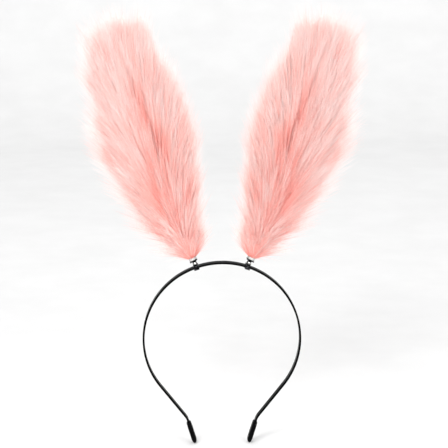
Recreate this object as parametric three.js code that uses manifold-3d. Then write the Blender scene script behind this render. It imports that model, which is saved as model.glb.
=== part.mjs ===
// Animal ears headband: a sprung steel strip with two fur ears, each on a riveted tilting clamp.
// Millimetres. +Z is up, +X is the wearer's left and +Y is the back of the head.
// The origin is the middle of the strip's inner face, where it rests on the crown of the head.
import * as THREE from 'three';
import { mergeVertices } from 'three/addons/utils/BufferGeometryUtils.js';
import Module from 'manifold-3d';

const wasm = await Module();
wasm.setup();

// Running gap between two pieces that touch on the real object.
const GAP = 0.3;

// Headband strip: flat spring steel, bent to a circle that runs past the ears of the wearer.
const STRIP_WIDTH = 7;
const STRIP_THICKNESS = 1.6;
const STRIP_BEVEL = 0.35;
const BAND_RADIUS = 64.5;
const FACET_ANGLE = THREE.MathUtils.degToRad(4);
const CROWN_HALF_ANGLE = 11.5 * FACET_ANGLE;
const ARC_END_ANGLE = THREE.MathUtils.degToRad(128);
const STRAIGHT_LENGTH = 33;
const RECURVE_RADIUS = 14;
const TIP_LEAN_ANGLE = THREE.MathUtils.degToRad(107);
const TIP_LENGTH = 18;

// Dipped cap on each end of the strip.
const CAP_LENGTH = 18.5;
const CAP_THICKNESS = 4.2;
const CAP_WIDTH = 9.2;
const CAP_BEVEL = 1.1;
const CAP_PAST_STRIP = 2;

// Clamp: one folded strap round the strip, ending in two round-topped lugs above it.
const CLAMP_ANGLE = THREE.MathUtils.degToRad(19);
const SHEET = 0.7;
const CLAMP_HALF_LENGTH = 2.2;
const LUG_RADIUS = 1.75;
const PIVOT_HEIGHT = 2.6;
const CLAMP_FLOOR = -STRIP_THICKNESS - GAP;
const CLAMP_SIDE = STRIP_WIDTH / 2 + GAP;

// Rivet that the ear tilts about.
const RIVET_RADIUS = 0.7;
const RIVET_HEAD_RADIUS = 1.3;
const RIVET_HEAD_HEIGHT = 0.75;
const RIVET_HOLE_RADIUS = RIVET_RADIUS + GAP;

// Tilt plate: a flat plate under the ear with a tongue that hangs between the lugs.
const TONGUE_THICKNESS = 0.8;
const TONGUE_RADIUS = 1.6;
const PLATE_LENGTH = 6.4;
const PLATE_WIDTH = 6;
const PLATE_THICKNESS = 0.8;
const PLATE_UNDERSIDE = LUG_RADIUS + GAP;

// Ear, measured along a spine that starts above the plate and curves back towards upright.
const EAR_BASE_LEAN = THREE.MathUtils.degToRad(26);
const SPINE_RADIUS = 670;
const EAR_START = PLATE_UNDERSIDE + PLATE_THICKNESS + 0.5;
const PILE_LENGTH = 218;
const PANEL_LENGTH = 190;
const FERRULE_LENGTH = 6;
const FERRULE_WALL = 0.5;
const PILE_NECK = [9.5, 6];
const PILE_WIDEST = [39.5, 20];
const PILE_FLARE = 0.95;
const PANEL_NECK = [2.5, 1.9];
const PANEL_WIDEST = [21, 6.5];
const PANEL_FLARE = 1.15;
const PANEL_THICKNESS = 0.6;
const WIRE_RADIUS = 0.6;
const WIRE_INSET = 2.4;
const WIRE_START = 1.2;
const FILLING_INSET = WIRE_INSET + WIRE_RADIUS + 3 * GAP;
const FILLING_START = 16;
const SPINE_STEPS = 14;
const SECTION_SIDES = 16;
const WIRE_STEPS = 17;

// The arc's centre puts the flat middle facet of the inner face on the origin.
const ARC_CENTRE_Z = -(BAND_RADIUS - STRIP_THICKNESS / 2) * Math.cos(FACET_ANGLE / 2);
const OUTER_RADIUS = BAND_RADIUS + STRIP_THICKNESS / 2;
const LEG_GAP_ANGLE = (STRIP_THICKNESS / 2 + GAP) / BAND_RADIUS;
const LEG_START_ANGLE = CROWN_HALF_ANGLE + LEG_GAP_ANGLE;

const lacqueredSteel = { color: 0x17171a, roughness: 0.28, metalness: 0.5 };
const dippedRubber = { color: 0x101011, roughness: 0.38, metalness: 0 };
const nickelPlate = { color: 0xc9cbcd, roughness: 0.2, metalness: 1 };
const galvanisedWire = { color: 0x9a9c9e, roughness: 0.4, metalness: 1 };
const knitBacking = { color: 0xf3b3aa, roughness: 0.9, metalness: 0 };
const polyesterFill = { color: 0xf4f1ee, roughness: 1, metalness: 0 };
const longPile = { color: 0xffc4bb, roughness: 0.95, metalness: 0 };

const model = new THREE.Group();

/** Make one named mesh with its own material and hang it in a group. */
function addNode(parent, name, geometry, finish) {
  const mesh = new THREE.Mesh(geometry, new THREE.MeshStandardMaterial(finish));
  mesh.name = name;
  parent.add(mesh);
  return mesh;
}

/** Turn a closed geometry into a solid that can be cut and joined. */
function solidOf(geometry) {
  const bare = geometry.clone();
  bare.deleteAttribute('normal');
  bare.deleteAttribute('uv');
  const welded = mergeVertices(bare, 1e-4);
  const mesh = new wasm.Mesh({
    numProp: 3,
    vertProperties: new Float32Array(welded.attributes.position.array),
    triVerts: new Uint32Array(welded.index.array),
  });
  return new wasm.Manifold(mesh);
}

/** Turn a solid back into a geometry. */
function geometryOf(solid) {
  const mesh = solid.getMesh();
  const geometry = new THREE.BufferGeometry();
  geometry.setAttribute('position', new THREE.BufferAttribute(new Float32Array(mesh.vertProperties), 3));
  geometry.setIndex(new THREE.BufferAttribute(new Uint32Array(mesh.triVerts), 1));
  geometry.computeVertexNormals();
  return geometry;
}

/** Extrude an outline drawn in X and Z along Y, centred on the XZ plane. */
function extrudeAcross(points, width, bevel = 0, holes = []) {
  const shape = new THREE.Shape(points.map(([x, z]) => new THREE.Vector2(x, z)));
  shape.holes = holes;
  const geometry = new THREE.ExtrudeGeometry(shape, {
    depth: width - 2 * bevel,
    bevelEnabled: bevel > 0,
    bevelThickness: bevel,
    bevelSize: bevel,
    bevelOffset: -bevel,
    bevelSegments: 1,
    curveSegments: 12,
  });
  geometry.rotateX(Math.PI / 2);
  geometry.translate(0, (width - 2 * bevel) / 2, 0);
  return geometry;
}

/** Points on an arc about a centre in the XZ plane, from one angle to another, both included. */
function arcPoints(centreX, centreZ, radius, from, to, steps) {
  return Array.from({ length: steps + 1 }, (_, i) => {
    const angle = from + ((to - from) * i) / steps;
    return [centreX + radius * Math.cos(angle), centreZ + radius * Math.sin(angle)];
  });
}

/** Mirror a geometry in the YZ plane and keep its faces pointing out. */
function mirrored(geometry) {
  const copy = geometry.index ? geometry.toNonIndexed() : geometry.clone();
  copy.scale(-1, 1, 1);
  const position = copy.attributes.position.array;
  for (let i = 0; i < position.length; i += 9) {
    for (let k = 0; k < 3; k += 1) {
      const swapped = position[i + 3 + k];
      position[i + 3 + k] = position[i + 6 + k];
      position[i + 6 + k] = swapped;
    }
  }
  copy.deleteAttribute('uv');
  copy.computeVertexNormals();
  return copy;
}

/** Give the right-hand geometry as it is, or its mirror for the left side. */
function forSide(geometry, side) {
  return side > 0 ? geometry : mirrored(geometry);
}

// ---- Headband strip ----

/** Point on a circle about the arc's centre, at an angle from straight up. */
function bandPoint(angle, radius) {
  return [radius * Math.sin(angle), ARC_CENTRE_Z + radius * Math.cos(angle)];
}

/** Middle stretch of the strip, which lies on the crown and carries both ears. */
function crownGeometry() {
  const angles = Array.from({ length: 24 }, (_, i) => -CROWN_HALF_ANGLE + i * FACET_ANGLE);
  const inner = angles.map((angle) => bandPoint(angle, BAND_RADIUS - STRIP_THICKNESS / 2));
  const outer = angles.map((angle) => bandPoint(angle, OUTER_RADIUS));
  return extrudeAcross([...inner, ...outer.reverse()], STRIP_WIDTH, STRIP_BEVEL);
}

/** Walk along the strip's centre-line. Each run is [length, turn, steps]; heading is its angle from +X. */
function walk(start, heading, runs) {
  const stops = [{ x: start[0], z: start[1], heading }];
  for (const [length, turn, steps] of runs) {
    for (let i = 0; i < steps; i += 1) {
      const last = stops[stops.length - 1];
      const middle = last.heading + turn / steps / 2;
      stops.push({
        x: last.x + (length / steps) * Math.cos(middle),
        z: last.z - (length / steps) * Math.sin(middle),
        heading: last.heading + turn / steps,
      });
    }
  }
  return stops;
}

const legStops = walk(bandPoint(LEG_START_ANGLE, BAND_RADIUS), LEG_START_ANGLE, [
  [BAND_RADIUS * (ARC_END_ANGLE - LEG_START_ANGLE), ARC_END_ANGLE - LEG_START_ANGLE, 20],
  [STRAIGHT_LENGTH, 0, 1],
  [RECURVE_RADIUS * (ARC_END_ANGLE - TIP_LEAN_ANGLE), TIP_LEAN_ANGLE - ARC_END_ANGLE, 4],
  [TIP_LENGTH, 0, 1],
]);
const legEnd = legStops[legStops.length - 1];

/** Side of the strip: every stop moved outwards by a signed distance. */
function offsetStops(distance) {
  return legStops.map((stop) => [
    stop.x + distance * Math.sin(stop.heading),
    stop.z + distance * Math.cos(stop.heading),
  ]);
}

/** One leg of the strip, half-round at its upper end so that it can flex beside the crown stretch. */
function legGeometry() {
  const half = STRIP_THICKNESS / 2;
  const pivot = legStops[0];
  const roundFrom = Math.PI / 2 - LEG_START_ANGLE;
  const round = arcPoints(pivot.x, pivot.z, half, roundFrom, roundFrom + Math.PI, 6).slice(1, -1);
  const outline = [...offsetStops(-half), ...offsetStops(half).reverse(), ...round];
  return extrudeAcross(outline, STRIP_WIDTH, STRIP_BEVEL);
}

/** Dipped cap over the end of the strip, with the pocket that the strip sits in. */
function capGeometry() {
  const half = CAP_THICKNESS / 2;
  const shoulder = 0.9;
  const bottom = arcPoints(0, -CAP_LENGTH + half, half, Math.PI, 2 * Math.PI, 8);
  const mouth = [[half, -shoulder], [half - shoulder, 0], [shoulder - half, 0], [-half, -shoulder]];
  const outline = [...bottom, ...mouth];
  const body = solidOf(extrudeAcross(outline, CAP_WIDTH, CAP_BEVEL));
  const depth = CAP_LENGTH - CAP_PAST_STRIP + GAP;
  const pocket = new THREE.BoxGeometry(STRIP_THICKNESS + 2 * GAP, STRIP_WIDTH + 2 * GAP, 2 * depth);
  return geometryOf(body.subtract(solidOf(pocket)));
}

/** Hang a cap on the strip's end, in line with it. */
function addCap(side, name) {
  const holder = new THREE.Group();
  const up = CAP_LENGTH - CAP_PAST_STRIP;
  holder.position.set(
    side * (legEnd.x - up * Math.cos(legEnd.heading)),
    0,
    legEnd.z + up * Math.sin(legEnd.heading),
  );
  holder.rotation.y = side * (legEnd.heading - Math.PI / 2);
  model.add(holder);
  addNode(holder, name, capGeometry(), dippedRubber);
}

// ---- Clamp, rivet and tilt plate ----

/** Half of the strap's fold, as [across, height] points from the lug's slot round to the floor. */
function strapFold() {
  const slot = TONGUE_THICKNESS / 2 + GAP;
  const top = PIVOT_HEIGHT + LUG_RADIUS + 1;
  const outside = [[slot + SHEET, top], [slot + SHEET, GAP + SHEET], [CLAMP_SIDE + SHEET, GAP + SHEET]];
  const inside = [[slot, top], [slot, GAP], [CLAMP_SIDE, GAP], [CLAMP_SIDE, CLAMP_FLOOR]];
  return { outside: [...outside, [CLAMP_SIDE + SHEET, CLAMP_FLOOR - SHEET]], inside };
}

/** Clamp: the folded strap cut to its front outline, with the rivet's hole through both lugs. */
function clampGeometry() {
  const { outside, inside } = strapFold();
  const flip = ([across, height]) => [-across, height];
  const fold = [
    ...outside,
    ...outside.map(flip).reverse(),
    ...inside.map(flip),
    ...[...inside].reverse(),
  ];
  const strap = extrudeAcross(fold, 2 * CLAMP_HALF_LENGTH);
  strap.rotateZ(Math.PI / 2);
  const shelf = GAP + SHEET;
  const front = [
    [-CLAMP_HALF_LENGTH, CLAMP_FLOOR - SHEET - 1],
    [CLAMP_HALF_LENGTH, CLAMP_FLOOR - SHEET - 1],
    [CLAMP_HALF_LENGTH, shelf],
    [LUG_RADIUS, shelf],
    ...arcPoints(0, PIVOT_HEIGHT, LUG_RADIUS, 0, Math.PI, 10),
    [-LUG_RADIUS, shelf],
    [-CLAMP_HALF_LENGTH, shelf],
  ];
  const cutter = extrudeAcross(front, 3 * STRIP_WIDTH, 0, [rivetHole(PIVOT_HEIGHT)]);
  return geometryOf(solidOf(strap).intersect(solidOf(cutter)));
}

/** Round hole for the rivet, as a path in an outline. */
function rivetHole(height) {
  return new THREE.Path().absarc(0, height, RIVET_HOLE_RADIUS, 0, 2 * Math.PI, true);
}

/** Rivet with a domed head in front and a domed tail behind, along Y. */
function rivetGeometry() {
  const grip = TONGUE_THICKNESS / 2 + GAP + SHEET + GAP;
  const dome = (sign) => Array.from({ length: 4 }, (_, i) => {
    const angle = (i * Math.PI) / 6;
    const radius = i === 3 ? 0 : RIVET_HEAD_RADIUS * Math.cos(angle);
    return new THREE.Vector2(radius, sign * (grip + RIVET_HEAD_HEIGHT * Math.sin(angle)));
  });
  const shank = [new THREE.Vector2(RIVET_RADIUS, -grip), new THREE.Vector2(RIVET_RADIUS, grip)];
  return new THREE.LatheGeometry([...dome(-1).reverse(), ...shank, ...dome(1)], 16);
}

/** Tilt plate: flat plate with its tongue, in the ear's own frame, where the rivet is the origin. */
function tiltPlateGeometry() {
  const top = PLATE_UNDERSIDE + PLATE_THICKNESS / 2;
  const round = arcPoints(0, 0, TONGUE_RADIUS, Math.PI, 2 * Math.PI, 10);
  const outline = [...round, [TONGUE_RADIUS, top], [-TONGUE_RADIUS, top]];
  const tongue = solidOf(extrudeAcross(outline, TONGUE_THICKNESS, 0, [rivetHole(0)]));
  const plate = new THREE.BoxGeometry(PLATE_LENGTH, PLATE_WIDTH, PLATE_THICKNESS);
  plate.translate(0, 0, top);
  return geometryOf(tongue.add(solidOf(plate)));
}

// ---- Ear, in its own frame: the rivet is the origin and the ear leaves along +Z ----

/** Frame on the spine at a distance from its start: a point, and the direction across the ear. */
function spineFrame(distance) {
  const turn = distance / SPINE_RADIUS;
  return {
    point: [-SPINE_RADIUS * (1 - Math.cos(turn)), EAR_START + SPINE_RADIUS * Math.sin(turn)],
    across: [Math.cos(turn), Math.sin(turn)],
  };
}

/**
 * Leaf-shaped half-width: a neck at t = 0, widest a little past half-way, and a blunt tip at t = 1.
 * A lower flare spreads faster above the neck.
 */
function leafWidth(t, neck, widest, flare) {
  const widestAt = 0.55;
  if (t <= 0) return neck;
  if (t < widestAt) return neck + (widest - neck) * Math.sin(((Math.PI / 2) * t) / widestAt) ** flare;
  const u = Math.min((t - widestAt) / (1 - widestAt), 1);
  return widest * (1 - u ** 2.6) ** 0.62;
}

/** Closed leaf solid on the spine, with a ring at its neck. size(distance) is [half-width, half-depth]. */
function leafGeometry(start, neck, end, size) {
  const position = [];
  const index = [];
  const ring = (distance, [halfWidth, halfDepth]) => {
    const { point, across } = spineFrame(distance);
    for (let i = 0; i < SECTION_SIDES; i += 1) {
      const angle = (2 * Math.PI * i) / SECTION_SIDES;
      const out = halfWidth * Math.cos(angle);
      position.push(point[0] + out * across[0], halfDepth * Math.sin(angle), point[1] + out * across[1]);
    }
  };
  ring(start, size(start));
  for (let k = 0; k < SPINE_STEPS; k += 1) {
    const distance = neck + (end - neck) * (1 - (1 - k / SPINE_STEPS) ** 1.5);
    ring(distance, size(distance));
  }
  for (let k = 0; k < SPINE_STEPS; k += 1) {
    for (let i = 0; i < SECTION_SIDES; i += 1) {
      const next = (i + 1) % SECTION_SIDES;
      const a = k * SECTION_SIDES + i;
      const b = k * SECTION_SIDES + next;
      index.push(a, b, b + SECTION_SIDES, a, b + SECTION_SIDES, a + SECTION_SIDES);
    }
  }
  const last = SPINE_STEPS * SECTION_SIDES;
  const pole = position.length / 3;
  const tip = spineFrame(end).point;
  position.push(tip[0], 0, tip[1]);
  const foot = spineFrame(start).point;
  position.push(foot[0], 0, foot[1]);
  for (let i = 0; i < SECTION_SIDES; i += 1) {
    const next = (i + 1) % SECTION_SIDES;
    index.push(last + i, last + next, pole);
    index.push(next, i, pole + 1);
  }
  const geometry = new THREE.BufferGeometry();
  geometry.setAttribute('position', new THREE.BufferAttribute(new Float32Array(position), 3));
  geometry.setIndex(index);
  geometry.computeVertexNormals();
  return geometry;
}

/** Outer size of the fur at a distance along the spine. */
function pileSize(distance) {
  const t = distance / PILE_LENGTH;
  return [0, 1].map((i) => leafWidth(t, PILE_NECK[i], PILE_WIDEST[i], PILE_FLARE));
}

/** Size of the cloth panels at a distance along the spine, grown by a margin. */
function panelSize(distance, margin) {
  const t = (distance - FERRULE_LENGTH) / (PANEL_LENGTH - FERRULE_LENGTH);
  const size = (i) => leafWidth(t, PANEL_NECK[i], PANEL_WIDEST[i], PANEL_FLARE);
  return [0, 1].map((i) => Math.max(size(i) + margin, 0.2));
}

/** Everything on one side of the ear's seam plane, a hair's breadth clear of it. */
function halfSpace(front) {
  const size = 600;
  const box = new THREE.BoxGeometry(size, size, size);
  box.translate(0, (front ? -1 : 1) * (size / 2 + GAP / 2), 0);
  return solidOf(box);
}

/** Oval bar along the spine's start, used for the ferrule and the room round it. */
function ovalBar(halfWidth, halfDepth, from, to) {
  const shape = new THREE.Shape().absellipse(0, 0, halfWidth, halfDepth, 0, 2 * Math.PI, false);
  const settings = { depth: to - from, bevelEnabled: false, curveSegments: 10 };
  const geometry = new THREE.ExtrudeGeometry(shape, settings);
  geometry.translate(0, 0, EAR_START + from);
  return solidOf(geometry);
}

const ferruleInside = PANEL_NECK.map((size) => size + GAP);
const ferruleOutside = ferruleInside.map((size) => size + FERRULE_WALL);

/** Crimped oval ferrule that holds the gathered neck of the ear on the plate. */
function ferruleGeometry() {
  const outside = ovalBar(ferruleOutside[0], ferruleOutside[1], -0.2, FERRULE_LENGTH - 0.5);
  return geometryOf(outside.subtract(ovalBar(ferruleInside[0], ferruleInside[1], 0.3, FERRULE_LENGTH)));
}

/** Long pile on one face of the ear: the leaf's outer half, hollowed for the cloth and the ferrule. */
function furGeometry(front) {
  const outside = solidOf(leafGeometry(0, FERRULE_LENGTH, PILE_LENGTH, pileSize));
  const cloth = solidOf(leafGeometry(-3, FERRULE_LENGTH, PANEL_LENGTH + GAP, (d) => panelSize(d, GAP)));
  const neckRoom = ovalBar(ferruleOutside[0] + GAP, ferruleOutside[1] + GAP, -3, FERRULE_LENGTH);
  return geometryOf(outside.intersect(halfSpace(front)).subtract(cloth).subtract(neckRoom));
}

/** Knitted backing cloth of one face, a thin half leaf that is open at the neck. */
function panelGeometry(front) {
  const outside = solidOf(leafGeometry(0.6, FERRULE_LENGTH, PANEL_LENGTH, (d) => panelSize(d, 0)));
  const lining = (distance) => panelSize(distance, -PANEL_THICKNESS);
  const inside = solidOf(leafGeometry(-3, FERRULE_LENGTH, PANEL_LENGTH - PANEL_THICKNESS, lining));
  return geometryOf(outside.intersect(halfSpace(front)).subtract(inside));
}

/** Thin polyester wadding between the panels, inside the wire loop. */
function fillingGeometry() {
  const size = (distance) => [
    panelSize(distance, -FILLING_INSET)[0],
    panelSize(distance, -PANEL_THICKNESS - GAP)[1],
  ];
  return leafGeometry(FILLING_START, FILLING_START + 4, PANEL_LENGTH - 2 * FILLING_INSET, size);
}

/** Bendable wire loop that follows the edge of the cloth up one side, round the tip and back down. */
function wireGeometry() {
  const top = PANEL_LENGTH - 2 * WIRE_INSET;
  const edgePoint = (distance, side) => {
    const { point, across } = spineFrame(distance);
    const out = side * Math.max(panelSize(distance, -WIRE_INSET)[0], WIRE_RADIUS + GAP / 2);
    return new THREE.Vector3(point[0] + out * across[0], 0, point[1] + out * across[1]);
  };
  const distances = Array.from({ length: WIRE_STEPS }, (_, i) => {
    const share = Math.sin(((Math.PI / 2) * i) / WIRE_STEPS);
    return WIRE_START + (top - WIRE_START) * share;
  });
  const tip = spineFrame(top).point;
  const route = new THREE.CatmullRomCurve3([
    ...distances.map((distance) => edgePoint(distance, -1)),
    new THREE.Vector3(tip[0], 0, tip[1]),
    ...distances.reverse().map((distance) => edgePoint(distance, 1)),
  ]);
  const section = new THREE.Shape().absarc(0, 0, WIRE_RADIUS, 0, 2 * Math.PI, false);
  return new THREE.ExtrudeGeometry(section, {
    extrudePath: route,
    steps: 50,
    bevelEnabled: false,
    curveSegments: 3,
  });
}

/** Build one ear and its clamp. side is 1 on the right of the front view and -1 on the left. */
function addEar(side, label) {
  const clamp = new THREE.Group();
  const [clampX, clampZ] = bandPoint(CLAMP_ANGLE, OUTER_RADIUS * Math.cos(FACET_ANGLE / 2));
  clamp.position.set(side * clampX, 0, clampZ);
  clamp.rotation.y = side * CLAMP_ANGLE;
  model.add(clamp);
  addNode(clamp, `${label}_band_clamp`, clampGeometry(), nickelPlate);
  const rivet = addNode(clamp, `${label}_pivot_rivet`, rivetGeometry(), nickelPlate);
  rivet.position.z = PIVOT_HEIGHT;

  const ear = new THREE.Group();
  ear.position.z = PIVOT_HEIGHT;
  ear.rotation.y = side * (EAR_BASE_LEAN - CLAMP_ANGLE);
  clamp.add(ear);
  addNode(ear, `${label}_tilt_plate`, tiltPlateGeometry(), nickelPlate);
  addNode(ear, `${label}_neck_ferrule`, ferruleGeometry(), nickelPlate);
  addNode(ear, `${label}_wire_frame`, forSide(wireGeometry(), side), galvanisedWire);
  addNode(ear, `${label}_filling`, forSide(fillingGeometry(), side), polyesterFill);
  for (const face of ['front', 'back']) {
    const front = face === 'front';
    addNode(ear, `${label}_${face}_panel`, forSide(panelGeometry(front), side), knitBacking);
    addNode(ear, `${label}_${face}_fur`, forSide(furGeometry(front), side), longPile);
  }
}

addNode(model, 'band_crown', crownGeometry(), lacqueredSteel);
for (const [side, label] of [[-1, 'left'], [1, 'right']]) {
  addNode(model, `band_${label}_leg`, forSide(legGeometry(), side), lacqueredSteel);
  addCap(side, `${label}_tip_cap`);
  addEar(side, label);
}

export default model;
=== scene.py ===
"""Animal ears headband: a sprung, lacquered strip with two long-pile fur ears on tilting clamps.

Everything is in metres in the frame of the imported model: +Z is up, +X is to the right seen from
the front, and +Y is the back of the head. Sizes in the classes are millimetres, scaled by MM.
"""

import logging
import math
from dataclasses import dataclass, field, replace
from enum import Enum
from typing import Any, Iterable, Mapping, Sequence

import bmesh
import bpy
import numpy as np
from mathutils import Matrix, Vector


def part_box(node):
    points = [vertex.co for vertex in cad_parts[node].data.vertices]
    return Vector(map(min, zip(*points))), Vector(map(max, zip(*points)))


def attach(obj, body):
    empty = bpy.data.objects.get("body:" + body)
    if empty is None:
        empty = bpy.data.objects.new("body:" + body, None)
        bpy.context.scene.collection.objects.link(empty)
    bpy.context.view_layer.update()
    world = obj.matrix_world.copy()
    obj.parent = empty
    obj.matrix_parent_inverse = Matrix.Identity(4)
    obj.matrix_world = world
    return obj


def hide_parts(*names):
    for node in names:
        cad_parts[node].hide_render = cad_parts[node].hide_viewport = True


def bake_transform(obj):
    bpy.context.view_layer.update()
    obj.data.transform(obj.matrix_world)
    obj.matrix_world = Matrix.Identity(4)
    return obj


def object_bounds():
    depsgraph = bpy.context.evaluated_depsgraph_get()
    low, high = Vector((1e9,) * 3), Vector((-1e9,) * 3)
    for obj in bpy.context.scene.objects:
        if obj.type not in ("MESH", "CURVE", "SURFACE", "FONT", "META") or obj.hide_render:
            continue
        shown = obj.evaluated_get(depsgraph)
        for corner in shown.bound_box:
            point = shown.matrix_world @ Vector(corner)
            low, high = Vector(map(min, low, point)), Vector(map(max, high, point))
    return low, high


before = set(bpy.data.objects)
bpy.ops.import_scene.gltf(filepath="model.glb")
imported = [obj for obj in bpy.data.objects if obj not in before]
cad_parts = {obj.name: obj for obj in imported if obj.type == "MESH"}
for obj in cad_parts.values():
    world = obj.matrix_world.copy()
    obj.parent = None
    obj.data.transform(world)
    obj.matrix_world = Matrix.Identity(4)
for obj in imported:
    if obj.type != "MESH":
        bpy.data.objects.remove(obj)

LOG = logging.getLogger("headband")

Array = np.ndarray
Material = bpy.types.Material
Piece = bpy.types.Object
Point = tuple[float, float, float]
Socket = bpy.types.NodeSocket
Stops = tuple[tuple[float, str], ...]
Tree = bpy.types.NodeTree

MM = 0.001
CAD_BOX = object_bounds()


class Named(Enum):
    """A choice whose own name, in lower case, is a word in the names of pieces."""

    @property
    def label(self) -> str:
        """The word."""
        return self.name.lower()


class Side(Named):
    """Which ear, leg and cap, as seen from the front; the value is the direction along X."""

    LEFT = -1
    RIGHT = 1


class Face(Named):
    """Which face of an ear; the value is the direction along Y."""

    FRONT = -1
    BACK = 1


class Pile(Named):
    """The coats of the fur: short and dense, long and in locks, and stray hair that stands off."""

    UNDERFUR = 0
    GUARD_HAIR = 1
    STRAY_HAIR = 2


class Slot(Enum):
    """Material slots."""

    LACQUER = "strip_lacquer"
    CAP = "dipped_cap"
    NICKEL = "nickel_plate"
    WIRE = "galvanised_wire"
    KNIT = "knit_backing"
    WADDING = "wadding"
    PILE = "long_pile"


# ---- Nodes and colours ----


def linear(code: str) -> tuple[float, float, float, float]:
    """Turn an sRGB hex colour into linear values.

    Args:
        code: Six hex digits, with or without a leading hash.

    Returns:
        Red, green, blue and an alpha of 1.
    """
    digits = code.lstrip("#")
    parts = [int(digits[i : i + 2], 16) / 255 for i in (0, 2, 4)]
    values = [p / 12.92 if p <= 0.04045 else ((p + 0.055) / 1.055) ** 2.4 for p in parts]
    return (*values, 1.0)


def feed(node: bpy.types.Node, inputs: Mapping[Any, Any]) -> None:
    """Give a node's inputs their values and links.

    Args:
        node: Node whose inputs are set.
        inputs: Input name or number, with a plain value or an output socket to link from.
    """
    for key, value in inputs.items():
        socket = node.inputs[key]
        if isinstance(value, Socket):
            node.id_data.links.new(value, socket)
        else:
            socket.default_value = value


def add_node(
    tree: Tree,
    kind: str,
    inputs: Mapping[Any, Any] | None = None,
    stops: Sequence[tuple[float, Any]] = (),
    **settings: Any,
) -> bpy.types.Node:
    """Add one node with its settings, values and links.

    Args:
        tree: Node tree that gets the node.
        kind: Blender's type name of the node.
        inputs: Inputs as feed takes them.
        stops: Positions on a ramp, with a hex colour or a grey value from 0 to 1.
        **settings: Properties of the node itself.

    Returns:
        The new node.
    """
    node = tree.nodes.new(kind)
    for name, value in settings.items():
        setattr(node, name, value)
    feed(node, inputs or {})
    for number, (position, value) in enumerate(stops):
        elements = node.color_ramp.elements
        element = elements[number] if number < 2 else elements.new(position)
        element.position = position
        element.color = linear(value) if isinstance(value, str) else (value, value, value, 1)
    return node


def new_material(
    name: str, constants: Mapping[str, Any]
) -> tuple[Material, bpy.types.Node]:
    """Make a node material with the values that are the same all over.

    Args:
        name: Material name.
        constants: Shader sockets and their values.

    Returns:
        The material and its Principled shader.
    """
    material = bpy.data.materials.new(name)
    material.use_nodes = True
    shader = material.node_tree.nodes["Principled BSDF"]
    feed(shader, constants)
    return material, shader


@dataclass(frozen=True)
class Grain:
    """A noise pattern on Object coordinates."""

    size_mm: float
    detail: float = 3.0
    roughness: float = 0.55
    stretch: Point = (1.0, 1.0, 1.0)

    def add(self, tree: Tree) -> Socket:
        """Add the pattern.

        Args:
            tree: Node tree of the material.

        Returns:
            The pattern's grey output.
        """
        where = add_node(tree, "ShaderNodeTexCoord").outputs["Object"]
        placed = add_node(tree, "ShaderNodeMapping", {"Vector": where, "Scale": self.stretch})
        sizes = {"Vector": placed.outputs[0], "Scale": 1 / (self.size_mm * MM)}
        sizes |= {"Detail": self.detail, "Roughness": self.roughness}
        return add_node(tree, "ShaderNodeTexNoise", sizes).outputs["Fac"]


@dataclass(frozen=True)
class SurfaceFinish:
    """A finish with three tones, a roughness range and a fine relief, all from noise.

    A noise value seldom leaves 0.3 to 0.7, so the tones and the roughness are spread over that.
    """

    name: str
    tones: tuple[str, str, str]
    tone_grain: Grain
    roughness: tuple[float, float]
    roughness_grain: Grain
    relief_grain: Grain
    relief_mm: float = 0.02
    constants: Mapping[str, Any] = field(default_factory=dict)

    def build(self) -> Material:
        """Make the material.

        Returns:
            The finished material.
        """
        material, shader = new_material(self.name, self.constants)
        tree = material.node_tree
        stops, spots = list(zip((0.32, 0.5, 0.68), self.tones)), {0: self.tone_grain.add(tree)}
        colour = add_node(tree, "ShaderNodeValToRGB", spots, stops).outputs["Color"]
        low, high = self.roughness
        spread = {"Value": self.roughness_grain.add(tree), "To Min": low, "To Max": high}
        spread |= {"From Min": 0.3, "From Max": 0.7}
        rough = add_node(tree, "ShaderNodeMapRange", spread).outputs["Result"]
        height = {"Height": self.relief_grain.add(tree), "Strength": 1.0}
        height["Distance"] = self.relief_mm * MM
        bump = add_node(tree, "ShaderNodeBump", height).outputs["Normal"]
        feed(shader, {"Base Color": colour, "Roughness": rough, "Normal": bump})
        return material


@dataclass(frozen=True)
class KnitFinish:
    """Warp-knit polyester backing cloth: fine wales along the ear with a soft, fuzzy face."""

    name: str = "knit polyester backing"
    # The real wales are 0.8 mm apart; 1.2 mm is the closest that still shows.
    wale_mm: float = 1.2
    relief_mm: float = 0.2
    tones: Stops = ((0.05, "E9978B"), (0.55, "F6B6AB"))

    def build(self) -> Material:
        """Make the material.

        Returns:
            The finished material.
        """
        constants = {"Roughness": 0.9, "Specular IOR Level": 0.2}
        constants |= {"Sheen Weight": 0.3, "Sheen Roughness": 0.5}
        material, shader = new_material(self.name, constants)
        tree = material.node_tree
        where = add_node(tree, "ShaderNodeTexCoord").outputs["Object"]
        sizes = {"Vector": where, "Scale": 1 / (self.wale_mm * MM * 2 * math.pi)}
        sizes |= {"Distortion": 1.5, "Detail": 2.0, "Detail Scale": 3.0}
        wales = add_node(tree, "ShaderNodeTexWave", sizes, bands_direction="X").outputs["Fac"]
        fuzz = Grain(size_mm=2.5, detail=5).add(tree)
        both = {0: wales, 1: fuzz}
        mixed = add_node(tree, "ShaderNodeMath", both, operation="MULTIPLY").outputs[0]
        colour = add_node(tree, "ShaderNodeValToRGB", {0: mixed}, self.tones).outputs["Color"]
        height = {"Height": mixed, "Distance": self.relief_mm * MM, "Strength": 0.8}
        bump = add_node(tree, "ShaderNodeBump", height).outputs["Normal"]
        feed(shader, {"Base Color": colour, "Normal": bump})
        return material


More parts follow.
